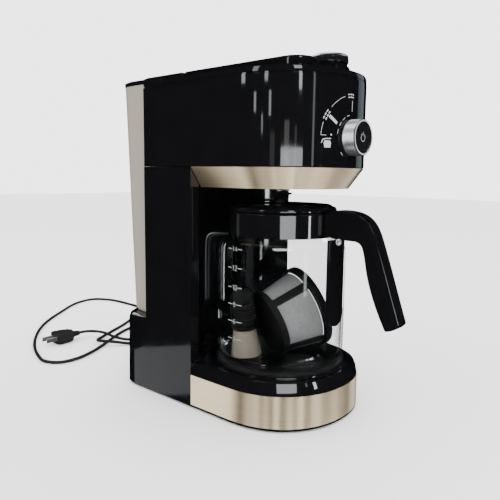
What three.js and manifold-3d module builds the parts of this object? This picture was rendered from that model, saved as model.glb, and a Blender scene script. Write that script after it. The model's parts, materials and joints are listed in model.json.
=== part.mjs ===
// Drip coffee maker with a glass carafe, a steel-banded base and head, and a rear water tank.
// Millimetres, +Z up, the front of the machine faces -Y. Heights are measured from the table.
// The pieces are drawn about the vertical axis of the round front, and the whole machine is then
// moved so that its origin is on the table under the middle of its depth.
import * as THREE from 'three';
import { mergeVertices } from 'three/addons/utils/BufferGeometryUtils.js';
import Module from 'manifold-3d';

const wasm = await Module();
wasm.setup();

// ---- driving dimensions ----
const gap = 0.35;               // clearance between pieces that meet
const halfWidth = 84;           // tower and head, at their straight sides
const frontDepth = 82;          // round front, from its axis
const roundness = 2.16;         // exponent of the front's outline
const baseSpread = 1;           // the base stands this much proud of the tower
const wall = 2.5;               // moulded plastic
const sheet = 0.8;              // steel bands
const towerFrontY = 56.8;       // corner where the tower meets the bay
const towerRearY = 133.2;       // rear edge of the tower's side panels
const tankFrontY = 110.5;
const platformRearY = 190;      // rear of the platform under the tank
const platformTopZ = 88;
const baseBandTopZ = 37.9;
const deckTopZ = 51.2;
const headBottomZ = 261.3;      // lower edge of the glossy head
const headTopZ = 354.4;
const bandBottomZ = 240;        // lower edge of the sloping steel band
const bandInset = 14.65;        // how far that edge lies inside the head
const bayArcRadius = 124.2;     // hollow front of the tower, behind the carafe
const bayArcY = -44.2;
const carafeY = 1;              // axis of the carafe and of the warming plate
const plateRadius = 71.4;
const plateTopZ = 56;
const glassRadius = 69.5;
const collarRadius = 59.5;
const collarTopZ = 215;
const handleWidth = 16;
const strapTipZ = 99.4;
const knobZ = 290.2;
const knobRadius = 17.45;
const knobFrontY = -96.4;
const lidHalfWidth = 50;
const lidFrontY = -57;
const lidRearY = 104.3;
const lidTopZ = 366.3;
const lidHingeY = 99;
const lidHingeZ = 360;
const lidKnobY = -54;
const tankRimZ = 352;
const tankHingeY = 195;
const cordRadius = 2.2;
const cordX = 36;               // the cord leaves the rear of the platform here
const cordZ = 26;
const plugY = 375;              // the plug lies on the table behind the machine
const plugZ = 9.3;
const arcSteps = 24;            // straight facets round the front
const roundSides = 40;          // facets of the large round pieces
const originY = 26.1;           // middle of the depth, from the round front's axis

const gloss = (name, color) => new THREE.MeshStandardMaterial({ name, color, roughness: 0.12,
  metalness: 0 });
const materials = {
  black: gloss('gloss_black', 0x0b0c0e),
  knobBlack: gloss('knob_black', 0x101114),
  inner: new THREE.MeshStandardMaterial({ name: 'inner_plastic', color: 0x1b1c1e, roughness: 0.6 }),
  steel: new THREE.MeshStandardMaterial({ name: 'brushed_steel', color: 0xc9bfae, roughness: 0.35,
    metalness: 1 }),
  satin: new THREE.MeshStandardMaterial({ name: 'satin_metal', color: 0xb9b9ba, roughness: 0.3,
    metalness: 1 }),
  plate: new THREE.MeshStandardMaterial({ name: 'plate_coating', color: 0x202123, roughness: 0.5,
    metalness: 0.4 }),
  glass: new THREE.MeshStandardMaterial({ name: 'glass', color: 0xeef3f2, roughness: 0.03,
    transparent: true,
    opacity: 0.3 }),
  tank: new THREE.MeshStandardMaterial({ name: 'frosted_tank', color: 0xc9c5bf, roughness: 0.35,
    transparent: true,
    opacity: 0.7 }),
  mesh: new THREE.MeshStandardMaterial({ name: 'filter_mesh', color: 0xa9aaa8, roughness: 0.7,
    metalness: 0.3 }),
  rubber: new THREE.MeshStandardMaterial({ name: 'rubber', color: 0x111111, roughness: 0.75 }),
  silicone: new THREE.MeshStandardMaterial({ name: 'silicone', color: 0xd8d8d4, roughness: 0.5 }),
  board: new THREE.MeshStandardMaterial({ name: 'circuit_board', color: 0x1d5a34, roughness: 0.5 }),
};

// ---- solids ----
// A closed body from any closed geometry: shared corners merged, slivers dropped, faces outward.
function solid(geometry) {
  const bare = geometry.clone();
  for (const name of ['normal', 'uv', 'color']) bare.deleteAttribute(name);
  const merged = mergeVertices(bare, 1e-4);
  const corners = merged.index.array;
  const kept = [];
  for (let i = 0; i < corners.length; i += 3) {
    const [a, b, c] = [corners[i], corners[i + 1], corners[i + 2]];
    if (a !== b && b !== c && a !== c) kept.push(a, b, c);
  }
  const points = merged.attributes.position;
  const at = (i) => new THREE.Vector3().fromBufferAttribute(points, i);
  let volume = 0;
  for (let i = 0; i < kept.length; i += 3) {
    volume += at(kept[i]).dot(at(kept[i + 1]).cross(at(kept[i + 2])));
  }
  if (volume < 0) {
    for (let i = 0; i < kept.length; i += 3) [kept[i], kept[i + 1]] = [kept[i + 1], kept[i]];
  }
  return new wasm.Manifold(new wasm.Mesh({
    numProp: 3,
    vertProperties: new Float32Array(points.array),
    triVerts: new Uint32Array(kept),
  }));
}

const join = (first, ...rest) => rest.reduce((whole, next) => whole.add(next), first);
const cut = (first, ...rest) => rest.reduce((whole, next) => whole.subtract(next), first);

function block(x, y, z) {       // each argument is [low, high]
  const size = [x, y, z].map(([low, high]) => high - low);
  const middle = [x, y, z].map(([low, high]) => (low + high) / 2);
  return solid(new THREE.BoxGeometry(...size).translate(...middle));
}

function rod(radius, z0, z1, x = 0, y = 0, sides = 24) {
  const geometry = new THREE.CylinderGeometry(radius, radius, z1 - z0, sides);
  return solid(geometry.rotateX(Math.PI / 2).translate(x, y, (z0 + z1) / 2));
}

function rodAlongX(radius, x0, x1, y, z, sides = 14) {
  const geometry = new THREE.CylinderGeometry(radius, radius, x1 - x0, sides);
  return solid(geometry.rotateZ(Math.PI / 2).translate((x0 + x1) / 2, y, z));
}

function rodAlongY(radius, y0, y1, x, z, sides = 20) {
  const geometry = new THREE.CylinderGeometry(radius, radius, y1 - y0, sides);
  return solid(geometry.translate(x, (y0 + y1) / 2, z));
}

// A body turned about a vertical axis: profile points are [radius, height].
function turned(profile, y = 0, sides = 28) {
  const points = profile.map(([radius, height]) => new THREE.Vector2(radius, height));
  const ring = points.every((p) => p.x > 1e-6) ? [...points, points[0].clone()] : points;
  return solid(new THREE.LatheGeometry(ring, sides).rotateX(Math.PI / 2).translate(0, y, 0));
}

// The same, about the knob's axis: profile points are [radius, y].
function turnedFront(profile, sides = 36) {
  const points = profile.map(([radius, y]) => new THREE.Vector2(radius, y));
  const ring = points.every((p) => p.x > 1e-6) ? [...points, points[0].clone()] : points;
  return solid(new THREE.LatheGeometry(ring, sides).translate(0, 0, knobZ));
}

function pipe(points, radius, sides, steps) {
  const path = new THREE.CatmullRomCurve3(points.map((p) => new THREE.Vector3(...p)), false, 'centripetal');
  const section = new THREE.Shape(Array.from({ length: sides }, (_, i) => {
    const angle = (2 * Math.PI * i) / sides;
    return new THREE.Vector2(radius * Math.cos(angle), radius * Math.sin(angle));
  }));
  return solid(new THREE.ExtrudeGeometry(section, { steps, extrudePath: path, bevelEnabled: false }));
}

// A solid through several heights of one outline. outline(inset) gives the same number of points
// at every inset, and levels are [height, inset] from the bottom up.
function loft(outline, levels) {
  const key = (x, y) => `${Math.round(x * 500)},${Math.round(y * 500)}`;
  const base = outline(0);
  const place = new Map(base.map((p, i) => [key(p.x, p.y), i]));
  const rings = levels.map(([, inset]) => outline(inset));
  const steps = levels.length - 1;
  const geometry = new THREE.ExtrudeGeometry(new THREE.Shape(base),
    { depth: steps, steps, bevelEnabled: false });
  const position = geometry.attributes.position;
  for (let v = 0; v < position.count; v += 1) {
    const level = Math.round(position.getZ(v));
    const p = rings[level][place.get(key(position.getX(v), position.getY(v)))];
    position.setXYZ(v, p.x, p.y, levels[level][0]);
  }
  return solid(geometry);
}

// ---- outlines, counter-clockwise from the right-hand side ----
function corner(x, y, radius, from, steps) {
  return Array.from({ length: steps + 1 }, (_, i) => {
    const angle = from + (Math.PI / 2) * (i / steps);
    return new THREE.Vector2(x + radius * Math.cos(angle), y + radius * Math.sin(angle));
  });
}

// The machine's plan: a round front and straight sides back to rearY.
function plan(spread, rearY, rearRadius = 0.5) {
  const rearSteps = rearRadius > 1 ? 6 : 2;
  return (inset) => {
    const half = halfWidth + spread - inset;
    const depth = frontDepth + spread - inset;
    const rear = rearY - inset;
    const radius = Math.max(rearRadius - inset, 0.3);
    const arc = Array.from({ length: arcSteps + 1 }, (_, i) => {
      const angle = Math.PI + (Math.PI * i) / arcSteps;
      const [c, s] = [Math.cos(angle), Math.sin(angle)];
      return new THREE.Vector2(
        half * Math.sign(c) * Math.abs(c) ** (2 / roundness),
        -depth * Math.abs(s) ** (2 / roundness));
    });
    return [
      ...corner(half - radius, rear - radius, radius, 0, rearSteps),
      ...corner(-half + radius, rear - radius, radius, Math.PI / 2, rearSteps),
      ...arc,
    ];
  };
}

// A rounded rectangle with its own front and rear corner radii. shrink is the inset of each side:
// 1 for a full inset, less where that side should move less.
function pad(half, frontY, rearY, frontRadius, rearRadius, shrink = { side: 1, front: 1, rear: 1 }) {
  return (inset) => {
    const x = half - inset * shrink.side;
    const [y0, y1] = [frontY + inset * shrink.front, rearY - inset * shrink.rear];
    const [r0, r1] = [frontRadius, rearRadius].map((radius) => Math.max(radius - Math.max(inset, 0), 0.4));
    return [
      ...corner(x - r1, y1 - r1, r1, 0, 6),
      ...corner(-x + r1, y1 - r1, r1, Math.PI / 2, 6),
      ...corner(-x + r0, y0 + r0, r0, Math.PI, 6),
      ...corner(x - r0, y0 + r0, r0, Math.PI * 1.5, 6),
    ];
  };
}

const far = 400;
const everywhere = [-far, far];
const front = (y) => block(everywhere, [-far, y], everywhere);          // all that lies before y
const bayArc = (offset) => rod(bayArcRadius + offset, -10, far, 0, bayArcY, 72);
// all that lies in front of the hollow bay wall, with a clearance
const bay = () => join(front(towerFrontY - 0.6), bayArc(-gap));

const machine = new THREE.Group();
machine.position.y = -originY;

function piece(name, body, material) {
  const mesh = body.getMesh();
  const geometry = new THREE.BufferGeometry();
  geometry.setAttribute('position', new THREE.BufferAttribute(mesh.vertProperties, 3));
  geometry.setIndex(new THREE.BufferAttribute(mesh.triVerts, 1));
  geometry.computeVertexNormals();
  const made = new THREE.Mesh(geometry, material);
  made.name = name;
  machine.add(made);
}

// ---- base ----
function base() {
  const rim = [[1.5, 1.4], [2.6, 0], [4, 0]];
  const outer = loft(plan(baseSpread, 100), [...rim, [4, sheet + gap], [38, sheet + gap]]);
  const hollow = loft(plan(baseSpread, 120), [[0, 3.9], [40, 3.9]]);
  piece('base_shell', cut(outer, hollow, block(everywhere, [towerFrontY - 0.6, far], everywhere)),
    materials.black);

  const band = loft(plan(baseSpread, 100), [[4.3, 0], [baseBandTopZ, 0]]);
  const inside = loft(plan(baseSpread, 120), [[0, sheet], [60, sheet]]);
  piece('base_band', cut(band, inside).intersect(front(towerFrontY - 0.6)), materials.steel);

  const top = loft(plan(baseSpread, 140), [[38.3, 0.4], [45, 1.6], [50, 3.6], [deckTopZ, 5.6]]);
  const under = loft(plan(baseSpread, 50), [[30, 4.5], [48.2, 6.5]]);
  const lip = turned([[72, 49], [74.6, 49], [74.6, 52.4], [74, 53], [72.6, 53], [72, 52.4]], carafeY,
    roundSides);
  const deck = cut(join(top, lip).intersect(bay()), under, rod(57.6, 40, 60, 0, carafeY, roundSides));
  piece('base_deck', cut(deck, rod(72, deckTopZ - 0.01, 60, 0, carafeY, roundSides)), materials.black);

  piece('warming_plate', turned([[0, 53.4], [54, 53.4], [54, 46.5], [57, 46.5], [57, 51.6],
    [plateRadius, 51.6],
    [plateRadius, 55], [plateRadius - 0.9, plateTopZ], [0, plateTopZ]], carafeY, roundSides),
    materials.plate);

  // a horseshoe under the plate, whose ends turn down to the hoses
  const bend = Array.from({ length: 17 }, (_, i) => {
    const angle = THREE.MathUtils.degToRad(142 + (256 * i) / 16);
    return [38 * Math.cos(angle), carafeY + 38 * Math.sin(angle), 47];
  });
  const tail = (side) => [[side * 30, 31, 41], [side * 30, 33, 34], [side * 30, 33, 27]];
  const heater = pipe([...tail(-1).reverse(), ...bend, ...tail(1)], 5.2, 8, 30);
  piece('heating_element', heater, materials.satin);
  piece('thermostat', turned([[0, 36], [11, 36], [11, 50], [14, 50], [14, 52.9], [0, 52.9]], carafeY, 24),
    materials.satin);

  const cover = loft(plan(baseSpread, platformRearY, 36), [[2, 4.3], [4.6, 4.3]]);
  const corners = [[-62, -26], [62, -26], [-62, 158], [62, 158]];
  const screws = [[-40, -50], [40, -50], [-70, 100], [70, 100]];
  const holes = screws.map(([x, y]) => rod(3.8, 0, 6, x, y, 16));
  const dents = corners.map(([x, y]) => rod(10.5, 0, 3, x, y, 24));
  piece('bottom_cover', cut(cover, ...holes, ...dents), materials.inner);
  corners.forEach(([x, y], i) => {
    const foot = turned([[0, 0], [8.6, 0], [10, 1], [10, 2.6], [0, 2.6]], 0, 24);
    piece(`foot_${i + 1}`, foot.translate([x, y, 0]), materials.rubber);
  });
  screws.forEach(([x, y], i) => {
    const screw = turned([[0, 2.2], [3.4, 2.2], [3.4, 4], [1.5, 4.6], [1.5, 15], [0, 16.5]], 0, 12);
    piece(`bottom_screw_${i + 1}`, screw.translate([x, y, 0]), materials.satin);
  });
}

// ---- tower, with the platform that the tank stands on ----
function tower() {
  const sideX = [-halfWidth, halfWidth];
  const innerX = [-halfWidth + wall, halfWidth - wall];
  const platform = loft(plan(baseSpread, platformRearY, 36),
    [[1.5, 1.4], [2.6, 0], [46, 0.6], [80, 1], [85.5, 3.2], [platformTopZ, 8]]);
  const body = join(
    block(sideX, [towerFrontY, towerRearY], [4, headBottomZ - gap]),
    cut(platform, front(towerFrontY)));
  const tankSlot = block([-81, 81], [108, far], [platformTopZ, far]);
  const shaft = block(innerX, [0, 105.5], [-1, far]);
  const cellar = loft(plan(baseSpread, platformRearY, 36), [[-1, 3.6], [84.8, 3.6]]);
  const cable = rodAlongY(4.6, 170, 200, cordX, cordZ);
  const open = cut(body, tankSlot, shaft, cut(cellar, front(80)), rod(12, 60, 100, 0, 150), cable);
  piece('tower_shell', open, materials.black);

  const outerWall = join(bayArc(wall), front(towerFrontY + wall + 0.2));
  const slab = block([-81.2, 81.2], [towerFrontY + 0.2, 90], [deckTopZ + gap, headBottomZ - gap]);
  const flange = block([-81.2, 81.2], [towerFrontY + 0.2, towerFrontY + wall + 0.2],
    [deckTopZ + gap, headBottomZ - gap]);
  piece('bay_wall', join(slab.intersect(outerWall), flange).subtract(bayArc(0)), materials.black);
}

// ---- head ----
function head() {
  const outline = plan(0, towerRearY);
  const skin = loft(outline, [[headBottomZ, 0.5], [headBottomZ + 0.6, 0], [346.4, 0], [346.8, 0.9],
    [347.8, 0.9],
    [348.2, 0.2], [352.4, 0.5], [353.8, 1.3], [headTopZ, 2.8]]);
  const hollow = loft(plan(0, 105.5), [[200, wall + 0.3], [351.4, wall + 0.3]]);
  const opening = loft(pad(47, -54, 103.6, 20, 1.5), [[340, 0], [370, 0]]);
  const tankSlot = block([-81, 81], [107.4, far], everywhere);
  const knobHole = rodAlongY(4, -100, -70, 0, knobZ, 24);
  const lug = (x) => cut(
    join(rodAlongX(3, x - 2.5, x + 2.5, lidHingeY, lidHingeZ),
      block([x - 2.5, x + 2.5], [lidHingeY - 3, lidHingeY + 2], [349, lidHingeZ]),
      block([x - 2.5, x + 2.5], [lidHingeY - 3, 106], [349, 353])),
    rodAlongX(1.9, x - 4, x + 4, lidHingeY, lidHingeZ));
  piece('head_shell', join(cut(skin, hollow, opening, tankSlot, knobHole), lug(-32), lug(32)),
    materials.black);

  const cone = loft(plan(0, 100), [[bandBottomZ, bandInset], [headBottomZ - gap, 0]]);
  const inside = loft(plan(0, 120), [[bandBottomZ - 0.1, bandInset + sheet], [headBottomZ, sheet]]);
  piece('head_band', cut(cone, inside).intersect(front(towerFrontY - 0.6)), materials.steel);

  const floor = loft(plan(0, 140), [[bandBottomZ + 0.4, bandInset + 1.6], [243, bandInset + 0.4]]);
  piece('head_floor', cut(floor.intersect(bay()), rod(12.6, 200, 250, 0, 0, 32)), materials.inner);

  piece('brew_chamber', turned([[12, 250], [14, 248], [40, 258], [50, 346], [52, 346], [52, 348.4],
    [47.4, 348.4],
    [37.6, 260.4], [12, 250.6]], 0, 32), materials.inner);
  piece('filter_basket', turned([[5.2, 244.2], [9.4, 244.2], [9.4, 256], [35.6, 261.6], [44.6, 345],
    [46.4, 350.6],
    [43.4, 350.6], [42.6, 345], [33.8, 264], [8.2, 262], [5.2, 262]], 0, 32), materials.inner);
  piece('drip_valve', turned([[0, 228.4], [5, 228.4], [6.2, 229.4], [6.2, 232.4], [9.2, 233], [9.2, 235],
    [4.5, 235], [4.5, 262.4], [7.2, 262.4], [7.2, 264.4], [0, 264.4]], 0, 24), materials.inner);
  const turns = 4.5;
  const coil = Array.from({ length: 46 }, (_, i) => {
    const angle = 2 * Math.PI * turns * (i / 45);
    return [6.9 * Math.cos(angle), 6.9 * Math.sin(angle), 236.1 + 7.2 * (i / 45)];
  });
  piece('valve_spring', pipe(coil, 0.5, 5, 48), materials.satin);

  const riser = [[30, 33, 26.4], [30, 34, 18], [30, 46, 13.5], [30, 70, 14], [29, 88, 19], [28, 94, 34],
    [28, 94, 120], [28, 94, 240], [27, 94, 310], [22, 92, 334], [10, 82, 346], [2, 70, 348], [0, 58, 348]];
  piece('riser_tube', pipe(riser, 5, 8, 28), materials.silicone);
  const supply = [[-30, 33, 26.4], [-30, 34, 18], [-30, 46, 13.5], [-28, 70, 14], [-18, 100, 15],
    [-6, 130, 20],
    [0, 147, 36], [0, 150, 56], [0, 150, 69.6]];
  piece('supply_hose', pipe(supply, 5, 8, 22), materials.silicone);
}

// ---- knob and its board ----
function controls() {
  const back = knobFrontY + 13.9;
  piece('knob', turnedFront([[3.4, back], [3.4, back - 2.6], [14.85, back - 2.6], [14.85, knobFrontY],
    [knobRadius - 0.7, knobFrontY], [knobRadius, knobFrontY + 0.8], [knobRadius, back]]), materials.satin);
  piece('power_button', turnedFront([[0, back - 4.4], [14.5, back - 4.4], [14.5, knobFrontY + 1.1],
    [13.8, knobFrontY + 0.6], [0, knobFrontY + 0.6]]), materials.knobBlack);
  piece('knob_shaft', rodAlongY(3, back - 2.8, -71.4, 0, knobZ, 20), materials.satin);
  piece('selector_switch', block([-8, 8], [-71, -64.2], [knobZ - 8, knobZ + 8]), materials.inner);
  piece('control_board', block([-28, 28], [-63.9, -62.3], [knobZ - 18, knobZ + 24]), materials.board);
}

// ---- lid over the brew chamber ----
function lid() {
  const outline = pad(lidHalfWidth, lidFrontY, lidRearY, 22, 2);
  const seatZ = 362;              // the round grip sits on a tab in the lid's front edge
  const top = loft(outline, [[headTopZ + gap, 0], [lidTopZ - 3, 0], [lidTopZ - 0.9, 0.9], [lidTopZ, 3]]);
  const tab = turned([[0, headTopZ + gap], [16.6, headTopZ + gap], [18, 357], [18, seatZ], [0, seatZ]],
    lidKnobY, 32);
  const hollow = loft(outline, [[headTopZ - 5, 3], [seatZ - 2, 3]]);
  const seat = rod(19.2 + gap, seatZ, far, 0, lidKnobY, 40);
  const relief = block([-60, 60], [97, 110], [340, 359]);
  const pockets = [-32, 32].map((x) => block([x - 3, x + 3], [93, 110], [340, lidHingeZ + 3.8]));
  const knuckle = (x0, x1) => join(
    rodAlongX(3.2, x0, x1, lidHingeY, lidHingeZ),
    block([x0, x1], [lidHingeY, lidRearY - 1], [358, lidTopZ - 2]));
  const shell = cut(join(top, tab), hollow, seat, relief, ...pockets);
  const bore = rodAlongX(1.9, -46.8, 46.8, lidHingeY, lidHingeZ);
  const body = join(shell, knuckle(-44, -37), knuckle(37, 44));
  piece('brew_lid', cut(body, bore), materials.black);
  piece('lid_hinge_pin', rodAlongX(1.5, -46.4, 46.4, lidHingeY, lidHingeZ, 16), materials.satin);
  piece('lid_knob', turned([[0, seatZ + gap], [18.4, seatZ + gap], [19.2, seatZ + 1.2], [19.2, 367],
    [18.2, 369.4],
    [15.4, 370.9], [0, 371.4]], lidKnobY, 40), materials.knobBlack);
  const arm = block([-6, 6], [10, 55], [352.6, seatZ - 2.3]);
  const head = turned([[0, 352.6], [22, 352.6], [24, 355], [24, seatZ - 2.3], [0, seatZ - 2.3]], 0, 28);
  piece('shower_head', join(arm, head), materials.inner);
}

// ---- water tank ----
function tank() {
  const slope = { side: 1, front: 0, rear: 1.4 };
  const outside = pad(78, tankFrontY, 192, 6, 28, slope);
  const inside = pad(75.8, tankFrontY + 2.2, 189.8, 4, 26, slope);
  const body = cut(
    loft(outside, [[platformTopZ + 0.6, 9], [platformTopZ + 4, 7], [tankRimZ - 8, 0.2], [tankRimZ, 0]]),
    loft(inside, [[platformTopZ + 3.2, 8], [platformTopZ + 6, 6.8], [tankRimZ + 1, 0]]));
  const lug = (x) => cut(
    join(block([x - 3, x + 3], [191, tankHingeY], [349, 355.4]),
      rodAlongX(2.8, x - 3, x + 3, tankHingeY, 352.6)),
    rodAlongX(1.9, x - 5, x + 5, tankHingeY, 352.6));
  const spigot = rod(8.4, 83, platformTopZ + 4, 0, 150);
  const whole = cut(join(body, spigot), rod(4.6, 80, 100, 0, 150));
  piece('water_tank', join(cut(whole, block([-40, 40], [190, 200], [351.9, 360])), lug(-34), lug(34)),
    materials.tank);
  piece('tank_valve', turned([[0, 84], [2.4, 84], [2.4, 95.2], [7.4, 95.2], [7.4, 97.4], [0, 97.4]], 150,
    20),
    materials.silicone);
  piece('tank_socket', turned([[5, 70], [11.6, 70], [11.6, 80], [14.5, 80],
    [14.5, 84.4], [11.6, 84.4], [11.6, 87.6], [9, 87.6], [9, 80], [5, 80]], 150, 28),
    materials.silicone);

  const plate = loft(pad(79, 107.8, 191.8, 3, 28), [[tankRimZ + 0.5, 0.6], [353.4, 0], [356, 0],
    [357.2, 1.6]]);
  const ridge = loft(pad(lidHalfWidth, 107.8, 186, 2, 16),
    [[356, 0], [lidTopZ - 3, 0], [lidTopZ - 0.9, 0.9], [lidTopZ, 3]]);
  const tongue = join(
    rodAlongX(2.9, -30.4, 30.4, tankHingeY, 352.6),
    block([-30.4, 30.4], [188, tankHingeY], [352.6, 355.5]));
  const underside = loft(pad(lidHalfWidth, 107.8, 186, 2, 16), [[340, 5], [lidTopZ - 3, 5]]);
  const pinHole = rodAlongX(1.9, -40, 40, tankHingeY, 352.6);
  const lugRoom = [-34, 34].map((x) => block([x - 3.6, x + 3.6], [189.6, 200], [340, 360]));
  piece('tank_lid', cut(join(plate, ridge, tongue), underside, pinHole, ...lugRoom), materials.black);
  piece('tank_hinge_pin', rodAlongX(1.5, -38, 38, tankHingeY, 352.6, 16), materials.satin);
}

// ---- carafe ----
function carafe() {
  piece('carafe_glass', turned([[0, 56.4], [61, 56.4], [66.5, 58], [69.1, 62.5], [glassRadius, 68],
    [glassRadius, 170],
    [69, 177], [66.4, 183], [61, 187.6], [56, 190], [54, 193.5], [54, 203], [51.6, 203], [51.6, 193],
    [54.4, 188.2], [60, 185.4], [64.4, 181.4], [66.6, 176], [67.1, 170], [67.1, 68], [66.4, 64], [64, 60.6],
    [60, 59], [0, 59]], carafeY, roundSides), materials.glass);

  const ring = turned([[57, 189.9], [collarRadius, 189.9], [collarRadius, 213.6], [58.4, collarTopZ],
    [50, collarTopZ], [50, 203.4], [54.4, 203.4], [54.4, 194]], carafeY, roundSides);
  const beak = (size, z0, z1) => {
    const outline = new THREE.Shape();
    outline.moveTo(-16 * size, carafeY + 52);
    outline.quadraticCurveTo(-9 * size, carafeY + 60, 0, carafeY + 52 + 20 * size);
    outline.quadraticCurveTo(9 * size, carafeY + 60, 16 * size, carafeY + 52);
    return solid(new THREE.ExtrudeGeometry(outline, { depth: z1 - z0, bevelEnabled: false,
      curveSegments: 6 })
      .translate(0, 0, z0));
  };
  const notch = join(beak(0.78, 205, 220), block([-10, 10], [46, 54], [206, 220]));
  piece('carafe_collar', cut(join(ring, beak(1, 203.6, collarTopZ)), notch), materials.black);

  const cap = turned([[5, 216.6], [45.6, 216.6], [45.6, 208], [49.4, 208], [49.4, collarTopZ + gap], [58.6,
    collarTopZ + gap], [58.9, 218], [56.6, 221.4], [53.6, 223], [32, 223.4], [14, 221.6], [5, 219.8]],
    carafeY, roundSides);
  piece('carafe_lid', cut(cap, block([-9, 9], [45, 51.5], [200, collarTopZ + 0.2])), materials.black);

  // the strap follows the glass and ends in a half-round tip
  const skin = cut(rod(glassRadius + 3.4, 60, 189.4, 0, carafeY, roundSides * 2),
    rod(glassRadius + gap, 50, 200, 0, carafeY, roundSides * 2));
  const tongue = join(
    block([-14, 14], [-90, -50], [strapTipZ + 14, 189.4]),
    rodAlongY(14, -90, -50, 0, strapTipZ + 14, 32));
  piece('carafe_strap', skin.intersect(tongue), materials.black);

  // side view of the handle: an arm from the collar and a grip that hangs free
  const side = new THREE.Shape();
  side.moveTo(-59.9, 192.5);
  side.lineTo(-59.9, 216.5);
  side.quadraticCurveTo(-66, 219.6, -80, 219.4);
  side.bezierCurveTo(-103, 219.2, -111, 210, -117, 196);
  side.bezierCurveTo(-125, 176, -136, 142, -145.6, 115);
  side.quadraticCurveTo(-141, 108, -131, 106.4);
  side.bezierCurveTo(-118, 130, -110, 150, -106.4, 172);
  side.bezierCurveTo(-103.6, 186, -102, 189.6, -92, 189.8);
  side.lineTo(-76, 190);
  const grip = new THREE.ExtrudeGeometry(side, { depth: handleWidth, curveSegments: 12,
    bevelEnabled: false });
  // the drawing plane's x is the machine's y, and its y is the height
  grip.applyMatrix4(new THREE.Matrix4().makeBasis(
    new THREE.Vector3(0, 1, 0), new THREE.Vector3(0, 0, 1), new THREE.Vector3(1, 0, 0)));
  grip.translate(-handleWidth / 2, 0, 0);
  const screwHole = rodAlongY(2.3, -120, -50, 0, 205, 16);
  const counterbore = rodAlongY(4.6, -90, -66.2, 0, 205, 20);
  piece('carafe_handle', cut(solid(grip), rod(collarRadius + gap, 180, 230, 0, carafeY, roundSides * 2)
    .subtract(block([-30, 30], [-20, 80], [180, 230])), cut(screwHole, front(-70)),
      cut(counterbore, front(-70))),
  materials.black);
}

// ---- what lies in the carafe: the reusable filter and the water-filter holder ----
function contents() {
  const [small, large, length] = [35, 46, 54];
  const slope = Math.atan2(large - small, length);
  const place = (body) => body.rotate([0, 71, 0]).rotate([0, 0, -25]).translate([-23, 1, 92.2]);
  const skin = turned([[0, 0], [small, 0], [small + 0.6, 3], [large - 2.4, length - 8],
    [large, length - 7.5],
    [large, length], [large - 1.4, length], [large - 3.8, length - 8], [small - 1.2, 2], [0, 2]], 0, 32);
  const sector = new THREE.Shape();
  const half = THREE.MathUtils.degToRad(40);
  sector.moveTo(4, 0);
  sector.lineTo(70 * Math.cos(half), -70 * Math.sin(half));
  sector.absarc(0, 0, 70, -half, half, false);
  const pane = new THREE.ExtrudeGeometry(sector, { depth: length - 16, bevelEnabled: false,
    curveSegments: 4 });
  pane.translate(0, 0, 7);
  const panes = Array.from({ length: 4 }, (_, i) => solid(pane).rotate([0, 0, 90 * i - 6]));
  piece('filter_frame', place(cut(skin, ...panes)), materials.inner);

  const inner = (z) => small - 1.2 + (z - 2) * Math.tan(slope) * 0.93 - 0.5;
  const [low, high] = [3, length - 9];
  piece('filter_mesh', place(turned([[inner(low) - 0.6, low], [inner(low), low], [inner(high), high],
    [inner(high) - 0.6, high]], 0, 32)), materials.mesh);

  // the holder stands beside the filter and leans a little on the glass
  const lean = (body) => body.rotate([-3.4, -3, 0]).translate([-42.2, 13.5, 60.9]);
  const cup = turned([[0, 0], [16.4, 0], [12.6, 28], [0, 28]], 0, 24);
  piece('water_filter_cup', lean(cup), materials.silicone);
  const cap = turned([[0, 28.4], [12.4, 28.4], [14, 31], [14, 58], [12.6, 66], [8.6, 72], [0, 75]], 0, 24);
  piece('water_filter_cap', lean(cap), materials.inner);
}

// ---- power cord, lying on the table behind the machine ----
// Where it crosses itself the upper run rises in a low hump.
const cordRoute = [
  [36, 178, 26], [36, 206, 26], [36, 222, 26], [35, 236, 21.5], [31, 250, 12.5], [25, 264, 5],
  [17.5, 279, 2.6], [6, 294.5, 3], [-7, 304, 5.6], [-17.5, 312.7, 7.4], [-21, 325, 6.4], [-14.5, 339, 3.8],
  [3.5, 352, 2.5], [84, 397, 2.5], [158, 458, 2.5], [165, 510, 2.5], [161, 560, 2.5],
  [141, 589, 2.5], [104, 584, 2.5], [38, 537, 2.5], [-28, 477.5, 2.5], [-84, 399, 2.5], [-111, 338, 2.5],
  [-117, 308, 2.5], [-106, 290, 2.5], [-84, 287, 2.5], [-50, 298.5, 2.5], [58, 360, 2.5], [84, 359, 2.5],
  [96.5, 338, 2.5], [80, 312, 2.5], [50, 299, 2.5], [26, 298, 3.6], [10, 306, 6], [3.5, 322, 7.8],
  [3.8, 348, 8.8], [-0.5, 362, 9.1], [-10, 372.4, 9.3], [-20, plugY, plugZ], [-38, plugY, plugZ],
];

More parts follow.
